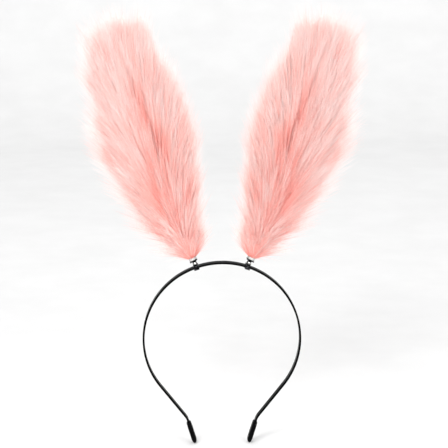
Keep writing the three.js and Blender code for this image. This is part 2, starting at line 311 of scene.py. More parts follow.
@dataclass(frozen=True)
class PileFinish:
    """Dyed modacrylic pile: each strand has its own tint, deeper at the root and paler at the tip.

    The strands' own map gives the tint across (U) and the place along the strand (V). The deeper
    root is partly the pile's own colour and partly painted shade deep in the pile; the low tints
    also carry painted shade along the parting.
    """

    name: str = "modacrylic long pile"
    # The root stops are partly the pile's own colour and partly painted shade deep in the pile.
    along: Stops = ((0.0, "FFA196"), (0.3, "FFD1CB"), (0.65, "FFEAE7"), (1.0, "FFF7F5"))
    # The low tints are each lock's own colour and also painted shade along the parting.
    tints: Stops = ((0.0, "FFB8AD"), (0.3, "FFE0DA"), (0.6, "FFF3F0"), (1.0, "FFFCFB"))

    def build(self) -> Material:
        """Make the material.

        Returns:
            The finished material.
        """
        constants = {"Roughness": 0.6, "Specular IOR Level": 0.25, "Sheen Weight": 0.15}
        constants |= {"Sheen Roughness": 0.4, "IOR": 1.5}
        material, shader = new_material(self.name, constants)
        tree = material.node_tree
        strand_map = add_node(tree, "ShaderNodeUVMap", uv_map=StrandTree.MAP_NAME)
        parts = add_node(tree, "ShaderNodeSeparateXYZ", {0: strand_map.outputs[0]})
        along = add_node(tree, "ShaderNodeValToRGB", {0: parts.outputs["Y"]}, self.along)
        tint = add_node(tree, "ShaderNodeValToRGB", {0: parts.outputs["X"]}, self.tints)
        sockets = {"Factor": 1.0, 6: along.outputs["Color"], 7: tint.outputs["Color"]}
        mix = add_node(tree, "ShaderNodeMix", sockets, data_type="RGBA", blend_type="MULTIPLY")
        feed(shader, {"Base Color": mix.outputs[2]})
        return material


# Stoved black lacquer over spring steel: deep black with a hard gloss and a faint ripple.
LACQUER = SurfaceFinish(
    name="stoved black lacquer",
    tones=("030303", "050505", "08080A"),
    tone_grain=Grain(size_mm=6),
    roughness=(0.16, 0.3),
    roughness_grain=Grain(size_mm=3, detail=5),
    relief_grain=Grain(size_mm=1.6, detail=1),
    constants={"Specular IOR Level": 0.008},
)

# Dipped vinyl: black and slightly softer than the lacquer, with sags where it ran.
DIPPED = SurfaceFinish(
    name="dip-moulded vinyl",
    tones=("030303", "050506", "09090A"),
    tone_grain=Grain(size_mm=5),
    roughness=(0.25, 0.42),
    roughness_grain=Grain(size_mm=2, detail=5),
    relief_grain=Grain(size_mm=4, detail=2),
    relief_mm=0.12,
    constants={"Specular IOR Level": 0.03},
)

# Bright nickel plate on pressed sheet: mirror-like, with rolling lines and a few dull spots.
NICKEL = SurfaceFinish(
    name="bright nickel plate",
    tones=("BDBCBA", "D8D7D4", "F0EFEC"),
    tone_grain=Grain(size_mm=1.2, detail=5),
    roughness=(0.16, 0.36),
    roughness_grain=Grain(size_mm=0.5, detail=6, stretch=(1, 5, 1)),
    relief_grain=Grain(size_mm=0.7, detail=2),
    constants={"Metallic": 1.0},
)

# Smoked nickel on the folded strap and the tilt plate: nearly black, with a hard shine.
SMOKED_NICKEL = replace(
    NICKEL,
    name="smoked nickel plate",
    tones=("060607", "111113", "606064"),
    tone_grain=Grain(size_mm=1.6, detail=3),
    roughness=(0.1, 0.3),
)

# Galvanised steel wire: dull grey with the spangle of the zinc.
GALVANISED = SurfaceFinish(
    name="galvanised wire",
    tones=("7E8184", "9A9C9E", "B7B9BA"),
    tone_grain=Grain(size_mm=1.5, detail=4),
    roughness=(0.35, 0.55),
    roughness_grain=Grain(size_mm=1, detail=4),
    relief_grain=Grain(size_mm=0.4, detail=2),
    constants={"Metallic": 1.0},
)

# Carded polyester wadding: matt off-white fibre with soft lumps.
WADDING = SurfaceFinish(
    name="carded polyester wadding",
    tones=("E9E4DF", "F4F1EE", "FBF9F7"),
    tone_grain=Grain(size_mm=4, detail=6),
    roughness=(0.9, 1.0),
    roughness_grain=Grain(size_mm=2, detail=4),
    relief_grain=Grain(size_mm=1.2, detail=8, roughness=0.75, stretch=(1, 1, 0.35)),
    relief_mm=0.5,
    constants={"Specular IOR Level": 0.1},
)

# Seamless studio paper: flat and nearly white.
PAPER = SurfaceFinish(
    name="seamless studio paper",
    tones=("DADADA", "DCDCDC", "DEDEDE"),
    tone_grain=Grain(size_mm=60),
    roughness=(0.85, 0.95),
    roughness_grain=Grain(size_mm=8),
    relief_grain=Grain(size_mm=1.5, detail=4),
    constants={"Specular IOR Level": 0.1},
)


# ---- Meshes ----


def link_object(name: str, data: bpy.types.ID) -> Piece:
    """Make an object at the origin from a mesh, lamp or camera, and link it to the scene."""
    item = bpy.data.objects.new(name, data)
    bpy.context.scene.collection.objects.link(item)
    return item


def dress(name: str, mesh: bpy.types.Mesh, material: Material) -> Piece:
    """Make a piece from a mesh, smooth and with one finish all over."""
    mesh.polygons.foreach_set("use_smooth", [True] * len(mesh.polygons))
    mesh.materials.clear()
    mesh.materials.append(material)
    return link_object(name, mesh)


def fit(piece: Piece, node: str, body: str, slot: Slot) -> Piece:
    """Put a piece in a frame node's place.

    Args:
        piece: The new piece.
        node: Node that the piece stands for.
        body: Body that the piece rides on.
        slot: Not used.

    Returns:
        The same piece.
    """
    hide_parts(node)
    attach(piece, body)
    return piece


def add_piece(name: str, verts: Iterable, faces: Iterable, material: Material) -> Piece:
    """Make a mesh object at the origin, smooth and with its faces turned outwards.

    Args:
        name: Piece name.
        verts: Vertex positions in metres.
        faces: Vertex numbers of each face.
        material: Finish of the whole piece.

    Returns:
        The new object, linked to the scene.
    """
    mesh = bpy.data.meshes.new(name)
    points = [tuple(map(float, vert)) for vert in verts]
    mesh.from_pydata(points, [], [tuple(map(int, face)) for face in faces])
    body = bmesh.new()
    body.from_mesh(mesh)
    bmesh.ops.recalc_face_normals(body, faces=body.faces)
    body.to_mesh(mesh)
    body.free()
    return dress(name, mesh, material)


def loft(rings: Sequence[Array]) -> tuple[Array, list[tuple[int, ...]]]:
    """Join rings of equal count into a skin with closed ends.

    Args:
        rings: Arrays of points, one for each ring.

    Returns:
        Vertices and faces.
    """
    count = len(rings[0])
    faces: list[tuple[int, ...]] = []
    for k in range(len(rings) - 1):
        for i in range(count):
            j = (i + 1) % count
            faces.append((k * count + i, k * count + j, (k + 1) * count + j, (k + 1) * count + i))
    faces.append(tuple(range(count)))
    faces.append(tuple(range((len(rings) - 1) * count, len(rings) * count)))
    return np.concatenate(rings), faces


def soften(piece: Piece, width_mm: float, segments: int) -> None:
    """Round the sharp edges of a piece with a bevel.

    Args:
        piece: Piece with flat faces and sharp edges.
        width_mm: Width of the bevel.
        segments: Steps round each edge.
    """
    bevel = piece.modifiers.new("rounded edges", "BEVEL")
    bevel.width = width_mm * MM
    bevel.segments = segments
    bevel.limit_method = "ANGLE"
    bevel.angle_limit = math.radians(35)
    bevel.harden_normals = True


def from_node(node: str, name: str, material: Material) -> Piece:
    """Make a piece from a copy of a frame node, with its loose triangles joined into whole faces.

    Args:
        node: Node of the frame.
        name: Name of the new piece.
        material: Finish of the piece.

    Returns:
        The piece.
    """
    same_place, flat = 0.002 * MM, math.radians(1)
    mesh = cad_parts[node].data.copy()
    mesh.name = name
    body = bmesh.new()
    body.from_mesh(mesh)
    bmesh.ops.remove_doubles(body, verts=body.verts, dist=same_place)
    bmesh.ops.dissolve_limit(body, angle_limit=flat, verts=body.verts, edges=body.edges)
    body.to_mesh(mesh)
    body.free()
    return dress(name, mesh, material)


@dataclass
class BandStrip:
    """The sprung steel strip: a circle over the head, straight lower legs and turned-out ends."""

    width: float = 7.0
    thickness: float = 1.6
    corner: float = 0.5
    radius: float = 64.5
    facet_degrees: float = 4.0
    arc_degrees: float = 128.0
    straight: float = 33.0
    recurve_radius: float = 14.0
    tip_degrees: float = 107.0
    tip: float = 18.0
    step: float = 1.4
    flex_from: float = 30.0
    flex_to: float = 75.0
    corner_steps: int = 6
    beside_on_edge: float = 0.15
    beside_on_face: float = 0.35

    def centre_z(self) -> float:
        """Height of the circle's centre, which puts the strip's inner face on the origin."""
        inner = self.radius - self.thickness / 2
        return -inner * math.cos(math.radians(self.facet_degrees / 2))

    def path(self) -> Array:
        """Centre-line of the right half.

        Returns:
            Rows of x, z and heading in radians from +X, clockwise.
        """
        arc, lean = math.radians(self.arc_degrees), math.radians(self.tip_degrees)
        runs = [
            (self.radius * arc, arc),
            (self.straight, 0.0),
            (self.recurve_radius * (arc - lean), lean - arc),
            (self.tip, 0.0),
        ]
        x, z, heading = 0.0, self.centre_z() + self.radius, 0.0
        rows = [(x, z, heading)]
        for length, turn in runs:
            steps = max(int(length / self.step), 6)
            for _ in range(steps):
                middle = heading + turn / steps / 2
                x += length / steps * math.cos(middle)
                z -= length / steps * math.sin(middle)
                heading += turn / steps
                rows.append((x, z, heading))
        return np.array(rows)

    def section(self) -> Array:
        """Find the strip's rounded outline, with a point on the flats beside each corner.

        Returns:
            Rows of offset across (Y) and outwards.
        """
        middle_y, middle_w = self.width / 2 - self.corner, self.thickness / 2 - self.corner
        points: list[tuple[float, float]] = []
        for quarter, (sign_y, sign_w) in enumerate(((1, 1), (-1, 1), (-1, -1), (1, -1))):
            angles = np.radians(90 * quarter + np.linspace(0, 90, self.corner_steps))
            rim = [
                (
                    sign_y * middle_y + self.corner * math.cos(angle),
                    sign_w * middle_w + self.corner * math.sin(angle),
                )
                for angle in angles
            ]
            ends = [rim[0], rim[-1]]
            edge_end, face_end = ends if quarter % 2 == 0 else ends[::-1]
            beside = [
                (edge_end[0], edge_end[1] - sign_w * self.beside_on_edge),
                (face_end[0] - sign_y * self.beside_on_face, face_end[1]),
            ]
            before, after = beside if quarter % 2 == 0 else beside[::-1]
            points += [before, *rim, after]
        return np.array(points)

    def half(self, side: Side, material: Material) -> Piece:
        """Build one half of the strip, from the crown to the end of a leg.

        Args:
            side: Which half.
            material: Finish of the strip.

        Returns:
            The piece.
        """
        outline = self.section()
        rings = []
        for x, z, heading in self.path():
            out_x, out_z = math.sin(heading), math.cos(heading)
            ring = [(side.value * (x + w * out_x), y, z + w * out_z) for y, w in outline]
            rings.append(np.array(ring) * MM)
        piece = add_piece(f"{side.label}_strip_half", *loft(rings), material)
        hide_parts("band_crown", f"band_{side.label}_leg")
        start, end = (self.on_arc(math.radians(a), side) for a in (self.flex_from, self.flex_to))
        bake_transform(piece)
        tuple(start)
        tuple(end)
        return piece

    def on_arc(self, angle: float, side: Side) -> Point:
        """Point on the centre-line's circle, at an angle from the crown, in metres."""
        x = side.value * self.radius * math.sin(angle)
        return (x * MM, 0.0, (self.centre_z() + self.radius * math.cos(angle)) * MM)


@dataclass
class TipCap:
    """Dipped cap on the end of a leg, with a rolled mouth that the strip comes out of."""

    strip: BandStrip
    length: float = 18.5
    thickness: float = 4.2
    width: float = 9.2
    past_strip: float = 2.0
    mouth_gap: float = 0.25
    lip: float = 0.6
    lip_inset: float = 0.75
    lip_length: float = 0.55
    sides: int = 40
    broad_squareness: float = 0.62
    edge_squareness: float = 0.8

    def outline(self, half_width: float, half_thickness: float) -> Array:
        """Rounded-rectangle ring as rows of across (Y) and outwards."""
        angles = np.linspace(0, 2 * np.pi, self.sides, endpoint=False)
        cos, sin = np.cos(angles), np.sin(angles)
        across = np.sign(cos) * np.abs(cos) ** self.broad_squareness * half_width
        out = np.sign(sin) * np.abs(sin) ** self.edge_squareness * half_thickness
        return np.stack([across, out], axis=1)

    def stations(self) -> list[Point]:
        """Find the cap's sizes from inside the mouth, round the lip and on to the closed end.

        Returns:
            Rows of distance from the mouth, half-width and half-thickness.
        """
        half_w, half_t = self.width / 2, self.thickness / 2
        slot_w = self.strip.width / 2 + self.mouth_gap
        slot_t = self.strip.thickness / 2 + self.mouth_gap
        rows = [(1.6, slot_w, slot_t), (0.5, slot_w, slot_t), (0.12, slot_w + 0.12, slot_t + 0.1)]
        for turn in np.linspace(-0.45, 1.0, 7):
            angle = turn * math.pi / 2
            distance = self.lip_length - self.lip_length * math.cos(angle)
            rise = self.lip * math.sin(angle) - self.lip_inset
            rows.append((distance, half_w + rise, half_t + rise))
        rows += [(1.6, half_w - 0.12, half_t - 0.14), (3.0, half_w - 0.05, half_t - 0.05)]
        body, rounding = self.length - half_t * 1.9, half_t * 1.5
        rows += [(body * share, half_w, half_t) for share in (0.4, 0.7, 0.92)]
        for share in np.linspace(0.0, 0.985, 9):
            angle = share * math.pi / 2
            distance = body + (self.length - body) * math.sin(angle)
            width = half_w - rounding + rounding * math.cos(angle)
            rows.append((distance, width, max(half_t * math.cos(angle) ** 0.85, 0.05)))
        return rows

    def build(self, side: Side, material: Material) -> Piece:
        """Build the cap on one leg.

        Args:
            side: Which leg.
            material: Finish of the cap.

        Returns:
            The piece.
        """
        x, z, heading = self.strip.path()[-1]
        along = np.array([math.cos(heading), -math.sin(heading)])
        out = np.array([math.sin(heading), math.cos(heading)])
        mouth = np.array([x, z]) - along * (self.length - self.past_strip)
        rings = []
        for distance, half_width, half_thickness in self.stations():
            ring = []
            for across, away in self.outline(half_width, half_thickness):
                place = mouth + along * distance + out * away
                ring.append((side.value * place[0], across, place[1]))
            rings.append(np.array(ring) * MM)
        piece = add_piece(f"{side.label}_cap", *loft(rings), material)
        return fit(piece, f"{side.label}_tip_cap", f"{side.label}_leg", Slot.CAP)


# ---- Ears ----


@dataclass(frozen=True)
class LeafSize:
    """Half-width and half-depth of a leaf shape from its neck (0) to its tip (1)."""

    neck: tuple[float, float]
    widest: tuple[float, float]
    flare: float
    widest_at: float = 0.55
    tip_bluntness: float = 2.6
    tip_roundness: float = 0.62

    def at(self, share: Array, axis: int) -> Array:
        """Half-size at a share of the length.

        Args:
            share: Shares from 0 at the neck to 1 at the tip.
            axis: 0 for width and 1 for depth.

        Returns:
            Half-sizes in millimetres.
        """
        neck, widest = self.neck[axis], self.widest[axis]
        share = np.clip(share, 0, 1)
        below = np.sin(np.pi / 2 * np.minimum(share / self.widest_at, 1)) ** self.flare
        beyond = np.clip((share - self.widest_at) / (1 - self.widest_at), 0, 1)
        closing = (1 - beyond**self.tip_bluntness) ** self.tip_roundness
        return np.where(share < self.widest_at, neck + (widest - neck) * below, widest * closing)


@dataclass(frozen=True)
class Spine:
    """Curved middle line of an ear, from just above its tilt plate."""

    side: Side
    pivot: tuple[float, float]
    lean_degrees: float = 26.0
    radius: float = 670.0
    start: float = 3.35

    def place(self, distance: Array, across: Array, depth: Array) -> Array:
        """Turn places on the ear into points of the frame.

        Args:
            distance: Millimetres along the spine.
            across: Millimetres from the spine, outwards from the head's middle.
            depth: Millimetres along Y.

        Returns:
            Points in metres.
        """
        turn = distance / self.radius
        x = -self.radius * (1 - np.cos(turn)) + across * np.cos(turn)
        z = self.start + self.radius * np.sin(turn) + across * np.sin(turn)
        lean = math.radians(self.lean_degrees)
        out = x * math.cos(lean) + z * math.sin(lean) + self.pivot[0]
        up = -x * math.sin(lean) + z * math.cos(lean) + self.pivot[1]
        return np.stack([self.side.value * out, depth, up], axis=-1) * MM


PILE_LEAF = LeafSize(neck=(9.5, 6.0), widest=(39.5, 20.0), flare=0.95)
PANEL_LEAF = LeafSize(neck=(2.5, 1.9), widest=(21.0, 6.5), flare=1.15)


class StrandTree:
    """Geometry Nodes tree that stands one tapered, curved strand on each follicle."""

    MAP_NAME = "OFBake"
    NUMBERS = ("along", "turn", "girth", "tint")
    VECTORS = ("sweep", "bend", "curl")
    TINT_SPREAD = 0.12
    FACET_TINT = 0.0096
    RIPPLE_RADIANS = 5.2

    def __init__(self, material: Material) -> None:
        """Build the tree.

        Args:
            material: Finish of the strands.
        """
        self.tree = bpy.data.node_groups.new("pile strands", "GeometryNodeTree")
        self.socket("Follicles", "Geometry")
        self.segments = self.socket("Strand segments", "Int")
        self.girth = self.socket("Girth", "Float")
        self.seed = self.socket("Seed", "Int")
        self.socket("Strands", "Geometry", "OUTPUT")
        self.wire(material)

    def socket(self, name: str, kind: str, way: str = "INPUT") -> str:
        """Add a socket to the tree's own inputs or outputs, and give its identifier."""
        sockets = self.tree.interface
        return sockets.new_socket(name, in_out=way, socket_type="NodeSocket" + kind).identifier

    def add(
        self, kind: str, inputs: Mapping[Any, Any] | None = None, **settings: Any
    ) -> Socket:
        """Add any node to the tree, and give its first output."""
        return add_node(self.tree, kind, inputs, **settings).outputs[0]

    def wire(self, material: Material) -> None:
        """Add and link the nodes.

        Args:
            material: Finish of the strands.
        """
        tree, add, maths, vectors = self.tree, self.add, "ShaderNodeMath", "ShaderNodeVectorMath"
        given = add_node(tree, "NodeGroupInput").outputs
        kinds = {"FLOAT": self.NUMBERS, "FLOAT_VECTOR": self.VECTORS}
        own = {
            name: add("GeometryNodeInputNamedAttribute", {"Name": name}, data_type=kind)
            for kind, names in kinds.items()
            for name in names
        }

        # One straight strand, fuller above its root than a plain cone.
        sizes = {"Vertices": 3, "Side Segments": given["Strand segments"]}
        sizes |= {"Radius Top": 0.0, "Radius Bottom": 1.0, "Depth": 1.0}
        shape = add("GeometryNodeMeshCone", sizes, fill_type="NGON")
        place = add("GeometryNodeInputPosition")
        parts = add_node(tree, "ShaderNodeSeparateXYZ", {0: place}).outputs
        turn = add(maths, {0: parts["Y"], 1: parts["X"]}, operation="ARCTAN2")
        stored = {"domain": "POINT", "data_type": "FLOAT"}
        for name, value in (("along", parts["Z"]), ("turn", turn)):
            sockets = {"Geometry": shape, "Name": name, "Value": value}
            shape = add("GeometryNodeStoreNamedAttribute", sockets, **stored)
        fuller = add(maths, {0: parts["Z"], 1: 1.0}, operation="ADD")
        scale = add("ShaderNodeCombineXYZ", {0: fuller, 1: fuller, 2: 1.0})
        wide = add(vectors, {0: place, 1: scale}, operation="MULTIPLY")
        shape = add("GeometryNodeSetPosition", {"Geometry": shape, "Position": wide})

        # A strand on each follicle, with its own tint.
        spread = {2: -self.TINT_SPREAD, 3: self.TINT_SPREAD, "Seed": given["Seed"]}
        chance = add_node(tree, "FunctionNodeRandomValue", spread).outputs[1]
        tint = add(maths, {0: own["tint"], 1: chance}, operation="ADD")
        sockets = {"Geometry": given["Follicles"], "Name": "tint", "Value": tint}
        points = add("GeometryNodeStoreNamedAttribute", sockets, **stored)
        reach = add_node(tree, vectors, {0: own["sweep"]}, operation="LENGTH").outputs["Value"]
        girth = add(maths, {0: own["girth"], 1: given["Girth"]}, operation="MULTIPLY")
        stands = {"Points": points, "Instance": shape}
        stands["Rotation"] = add("FunctionNodeAlignRotationToVector", {"Vector": own["sweep"]})
        stands["Scale"] = add("ShaderNodeCombineXYZ", {0: girth, 1: girth, 2: reach})
        strands = add("GeometryNodeInstanceOnPoints", stands)
        strands = add("GeometryNodeRealizeInstances", {0: strands})

        # The bend grows with the square of the way along, and the curl ripples.
        share = own["along"]
        square = add(maths, {0: share, 1: share}, operation="MULTIPLY")
        phase = add(maths, {0: share, 1: self.RIPPLE_RADIANS}, operation="MULTIPLY")
        wave = add(maths, {0: phase}, operation="SINE")
        ripple = add(maths, {0: wave, 1: share}, operation="MULTIPLY")
        bend = add(vectors, {0: own["bend"], "Scale": square}, operation="SCALE")
        curl = add(vectors, {0: own["curl"], "Scale": ripple}, operation="SCALE")
        offset = add(vectors, {0: bend, 1: curl}, operation="ADD")
        strands = add("GeometryNodeSetPosition", {"Geometry": strands, "Offset": offset})

        # The map: tint across, a little different on each facet, and the way along.
        facet = add(maths, {0: own["turn"], 1: self.FACET_TINT}, operation="MULTIPLY")
        across = add(maths, {0: own["tint"], 1: facet}, operation="ADD")
        across = add(maths, {0: across, 1: 0.0}, operation="MAXIMUM")
        across = add(maths, {0: across, 1: 1.0}, operation="MINIMUM")
        spot = add("ShaderNodeCombineXYZ", {0: across, 1: share})
        sockets = {"Geometry": strands, "Name": self.MAP_NAME, "Value": spot}
        stored = {"domain": "CORNER", "data_type": "FLOAT2"}
        strands = add("GeometryNodeStoreNamedAttribute", sockets, **stored)
        strands = add("GeometryNodeSetShadeSmooth", {"Geometry": strands})
        strands = add("GeometryNodeSetMaterial", {"Geometry": strands, "Material": material})
        add_node(tree, "NodeGroupOutput", {"Strands": strands})

    def grow(self, name: str, follicles: "Follicles", segments: int, seed: int) -> Piece:
        """Grow strands on follicles and give them back as a plain mesh.

        Args:
            name: Piece name.
            follicles: Roots and the way each strand goes.
            segments: Straight lengths in each strand.
            seed: Seed of each strand's own tint.

        Returns:
            The piece, with no modifier left on it.
        """
        source = follicles.as_object(name + "_roots")
        modifier = source.modifiers.new("strands", "NODES")
        modifier.node_group = self.tree
        modifier[self.segments] = segments
        modifier[self.girth] = 1.0
        modifier[self.seed] = seed
        graph = bpy.context.evaluated_depsgraph_get()
        mesh = bpy.data.meshes.new_from_object(source.evaluated_get(graph))
        mesh.name = name
        for spare in self.NUMBERS + self.VECTORS:
            found = mesh.attributes.get(spare)
            if found:
                mesh.attributes.remove(found)
        points = source.data
        bpy.data.objects.remove(source)
        bpy.data.meshes.remove(points)
        return link_object(name, mesh)


@dataclass
class Follicles:
    """Roots of strands, with the vectors and sizes that shape each one, in metres."""

    root: Array
    sweep: Array
    bend: Array
    curl: Array
    girth: Array
    tint: Array

    def as_object(self, name: str) -> Piece:
        """Make a mesh of loose points that carries the vectors.

        Args:
            name: Object name.

        Returns:
            The linked object.
        """
        mesh = bpy.data.meshes.new(name)
        mesh.vertices.add(len(self.root))
        mesh.vertices.foreach_set("co", self.root.astype(np.float32).ravel())
        for key in ("sweep", "bend", "curl"):
            layer = mesh.attributes.new(key, "FLOAT_VECTOR", "POINT")
            layer.data.foreach_set("vector", getattr(self, key).astype(np.float32).ravel())
        for key in ("girth", "tint"):
            layer = mesh.attributes.new(key, "FLOAT", "POINT")
            layer.data.foreach_set("value", getattr(self, key).astype(np.float32))
        return link_object(name, mesh)


@dataclass(frozen=True)
class CoatStyle:
    """How one coat of pile is laid: how many strands, how long and thick, and how they lock.

    Girth, which is half the thickness at the root, spread and tuft are millimetres, and the rest
    are shares. Hold is how closely the strands follow their lock, loose the share that stands
    off, trim how much is cut at the top, and collar the share that stands round the neck.
    """

    count: int
    reach: float
    girth: tuple[float, float]
    lift: tuple[float, float]
    hold: tuple[float, float]
    locks: int
    spread: float
    segments: int = 4
    loose: float = 0.0
    edge: float = 1.0
    trim: float = 0.62
    tone: float = 0.0
    tuft: float = 0.0
    parted: float = 0.0
    collar: float = 0.0


COATS = {
    Pile.UNDERFUR: CoatStyle(
        count=12000,
        segments=3,
        reach=0.66,
        girth=(0.12, 0.19),
        lift=(0.12, 0.72),
        hold=(0.0, 0.4),
        locks=260,
        spread=2.2,
        loose=0.12,
        collar=0.06,
    ),
    Pile.GUARD_HAIR: CoatStyle(
        count=9000,
        reach=1.0,
        girth=(0.09, 0.14),
        lift=(0.5, 1.0),
        hold=(0.25, 0.85),
        locks=300,
        spread=1.7,
        loose=0.1,
        tuft=4.2,
        parted=0.15,
    ),
    Pile.STRAY_HAIR: CoatStyle(
        count=3600,
        reach=1.12,
        girth=(0.07, 0.11),
        lift=(0.2, 1.05),
        hold=(0.4, 0.97),
        locks=80,
        spread=2.8,
        edge=1.12,
        trim=0.35,
        tone=-0.24,
        tuft=6.5,
        collar=0.03,
    ),
}


@dataclass
class FurCoat:
    """Lays out one coat of pile on one face of an ear."""

    spine: Spine
    face: Face
    style: CoatStyle
    rng: np.random.Generator
    pile_length: float = 218.0
    panel_length: float = 190.0
    neck: float = 6.0
    top: float = 196.5
    tufts: int = 1700
    first_root: float = 1.3
    rooted_length: float = 187.0
    short_pile: float = 16.0
    added_pile: float = 27.0
    full_pile_at: float = 45.0
    closes_from: float = 140.0
    closes_over: float = 42.0
    blunt_from: float = 192.0
    blunt_over: float = 38.0
    neck_length: float = 32.0
    neck_fullness: tuple[float, float] = (0.0, 1.5)
    neck_slack: float = 9.0
    shoulder_drop: float = 13.0
    gathered_neck: tuple[float, float] = (2.9, 2.6)
    above_ferrule: float = 1.2
    bank_width: float = 2.0
    # Width of the painted shade along the parting, in millimetres.
    furrow_shade_width: float = 4.5
    deepest: float = 23.5

    def parting(self, distance: Array) -> Array:
        """Place of the parting across the ear, in millimetres outwards from the spine."""
        stops = [0, 25, 54, 62, 72, 89, 105, 121, 140, 224]
        places = [0, 2.0, 2.4, 1.2, -5.6, -4.6, -3.8, -2.6, -2.2, -1.0]
        return np.interp(distance, stops, places)

    def crevice(self, distance: Array) -> Array:
        """How open the parting is along the ear, from 0 to 1."""
        stops = [16, 28, 44, 54, 62, 74, 90, 106, 122, 142]
        depths = [0, 0.6, 0.75, 0.2, 0.35, 0.9, 1.0, 0.85, 0.4, 0]
        return np.interp(distance, stops, depths)

    def tip_size(self, distance: Array, axis: int) -> Array:
        """Half-size that the tips of the strands reach.

        Args:
            distance: Millimetres along the spine.
            axis: 0 for width and 1 for depth.

        Returns:
            Half-sizes, fuller at the neck and blunt at the top of the ear.
        """
        body = PILE_LEAF.at(distance / self.pile_length, axis)
        body = body + self.neck_fullness[axis] * np.exp(-((distance / self.neck_length) ** 2))
        top = PILE_LEAF.at(np.array(self.blunt_from / self.pile_length), axis)
        past = (distance - self.blunt_from) / self.blunt_over
        return np.where(
            distance < self.blunt_from, body, top * np.sqrt(np.clip(1 - past**2, 0.05, 1))
        )

    def tips(
        self, distance: Array, share: Array, reach: Array, lift: Array
    ) -> Array:
        """Find where strands end.

        Args:
            distance: Roots' places along the spine.
            share: Places across as a share of the half-width.
            reach: Lengths along the spine.
            lift: Heights off the cloth as a share of the pile's depth.

        Returns:
            Rows of distance, across and depth of the tips in millimetres.
        """
        limit = self.top - self.shoulder_drop * np.abs(share) ** 2.4
        end = distance + reach
        end = end - np.maximum(end - limit, 0) * self.style.trim
        # The outer edge is fuller low down and the inner edge in the middle.
        outer = np.interp(end, [0, 60, 120, 165, 195], [1.0, 0.86, 0.82, 0.7, 0.68])
        inner = np.interp(end, [0, 60, 110, 148, 185], [1.0, 1.08, 1.08, 1.0, 0.88])
        fullness = self.style.edge * np.where(share > 0, outer, inner)
        across = share * self.tip_size(end, 0) * fullness
        slack = self.neck_slack * np.clip(-share, 0, 1)
        across = across - slack * np.exp(-((end / self.neck_length) ** 2))
        round_off = np.sqrt(np.clip(1 - np.clip(np.abs(share), 0, 1) ** 2, 0.03, 1))
        depth = self.face.value * self.tip_size(end, 1) * round_off * lift
        return np.stack([end, across, depth], axis=1)

    def gather(
        self, tips: Array, places: Array, ends: Array, centres: Array, pull: Array
    ) -> tuple[Array, Array]:
        """Draw tips together into locks, each towards the lock whose root is nearest.

        Args:
            tips: Tips of the strands.
            places: Roots of the strands, with the side of the parting in the last column.
            ends: Tips of the locks.
            centres: Roots of the locks, in the same columns as the places.
            pull: How far each strand follows its lock, from 0 to 1.

        Returns:
            The new tips, and the number of each strand's lock.
        """
        found = np.empty(len(places), dtype=int)
        # A lock is 2.2 times as long as it is wide, and is pulled a little less along its length.
        batch, longer_along = 2000, np.array([1 / 2.2, 1.0])
        for start in range(0, len(places), batch):
            rows = slice(start, start + batch)
            gap = (places[rows, None, :2] - centres[None, :, :2]) * longer_along
            found[rows] = np.argmin((gap**2).sum(axis=2), axis=1)
        same = centres[found, 2] == places[:, 2]
        strength = np.where(same, pull, 0.0)[:, None] * np.array([0.8, 1.0, 1.0])
        return tips + (ends[found] - tips) * strength, found

    def scatter(self) -> tuple[Array, Array]:
        """Scatter the roots over the cloth, closer together along its edges.

        Returns:
            Distances along the spine, and places across as shares of the half-width.
        """
        rng, n, steps = self.rng, self.style.count, np.linspace(0, 1, 400)
        cover = PANEL_LEAF.at(steps, 0) + 7
        chance = np.cumsum(cover) / cover.sum()
        along = np.interp(rng.random(n), chance, steps)
        edges = np.sin(rng.uniform(-1, 1, n) * np.pi / 2 * 0.985)
        share = np.where(rng.random(n) < 0.55, edges, rng.uniform(-0.97, 0.97, n))
        return self.first_root + along * self.rooted_length, share

    def lock_ends(
        self, distance: Array, share: Array, reach: Array, inwards: Array
    ) -> Array:
        """Find where the locks end, drawn out into tufts, most of all at the outer edge.

        Args:
            distance: Places of the locks' roots along the spine.
            share: Places across as a share of the half-width.
            reach: Lengths along the spine.
            inwards: How far each lock keeps its height off the cloth near the top.

        Returns:
            Rows of distance, across and depth in millimetres.
        """
        rng, count, tuft = self.rng, self.style.locks, self.style.tuft
        share = share + rng.normal(0, 0.06, count)
        lift = rng.uniform(0.6, 1.0, count) * self.style.lift[1] * inwards
        ends = self.tips(distance, share, reach * rng.uniform(0.95, 1.12, count), lift)
        outer = np.clip(share * 2.6, 0.3, 2.6)
        upper = 0.6 + 0.9 * (distance > 150)
        ends[:, 1] += np.sign(share) * np.abs(rng.normal(0, tuft, count)) * outer
        ends[:, 0] += np.abs(rng.normal(0, tuft, count)) * upper
        return ends

    def ruffle(self, tips: Array, lean: Array, rim: Array) -> Array:
        """Move the tips about, the loose ones more, and across the seam at the rim.

        Args:
            tips: Tips of the strands, which are changed.
            lean: Places across as a share of the half-width.
            rim: How close each strand is to the seam, from 0 to 1.

        Returns:
            Which strands are loose.
        """
        rng, n = self.rng, len(tips)
        loose = rng.random(n) < self.style.loose
        wide = np.where(loose, 3.0, 1.0) * self.style.spread
        ragged = 1 + np.clip(lean, 0, 1)
        tips[:, 0] += rng.normal(0, 1, n) * wide * 1.3
        outwards = np.where(loose, 2.0, 0.3) * np.sign(lean)
        tips[:, 1] += rng.normal(0, 1, n) * wide * ragged + outwards
        over_seam = self.face.value * 1.2 * rim
        tips[:, 2] += rng.normal(0, 1, n) * (0.6 * wide + 2.4 * rim) - over_seam
        return loose

